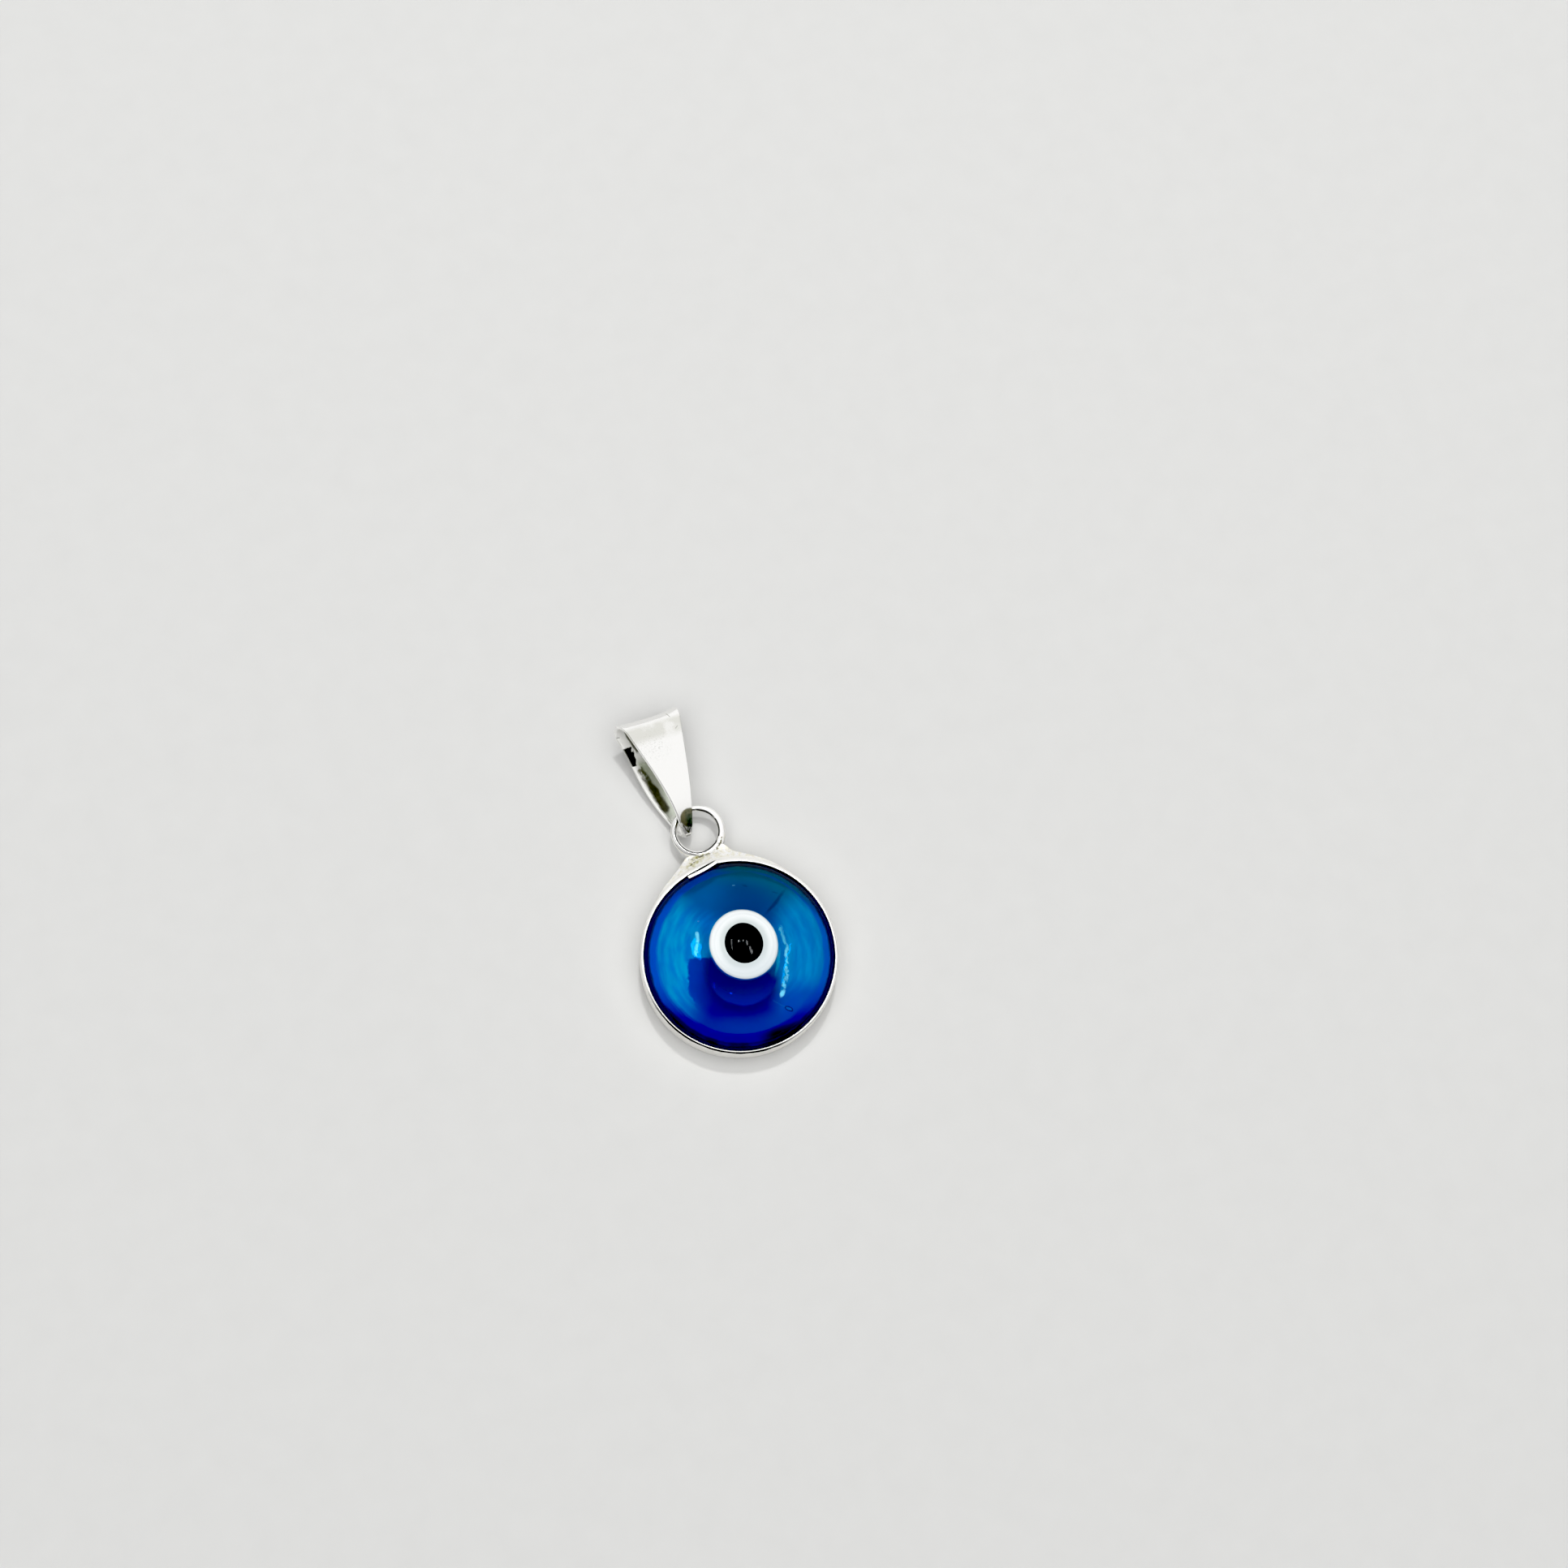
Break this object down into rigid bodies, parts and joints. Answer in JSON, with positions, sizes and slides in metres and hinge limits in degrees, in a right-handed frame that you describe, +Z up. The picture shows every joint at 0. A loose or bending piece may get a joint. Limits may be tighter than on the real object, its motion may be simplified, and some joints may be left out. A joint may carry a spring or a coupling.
{
  "type": "evil-eye pendant",
  "caption": "Small domed blue glass evil-eye disc in a thin silver bezel with a soldered jump ring and a folded, tapered silver bail, lying flat on its back.",
  "frame": {"origin": "middle of the underside of the whole pendant's box, on the surface that it lies on", "axes": "+X to the pendant's right, +Y from the disc towards the bail, +Z up, out of the glass's face"},
  "size_m": [0.013, 0.0238, 0.0038],
  "materials": {
    "bezel_silver": "polished silver with a grainy solder joint",
    "blue_glass": "clear cobalt-blue glass, gloss",
    "white_glass": "opaque white glass, gloss",
    "black_glass": "opaque black glass, gloss",
    "bail_silver": "polished silver with fine scuffs"
  },
  "bodies": {
    "root": {"bezel": "bezel_silver", "glass": "blue_glass", "white_dot": "white_glass", "pupil": "black_glass", "bail": "bail_silver"}
  },
  "joints": []
}
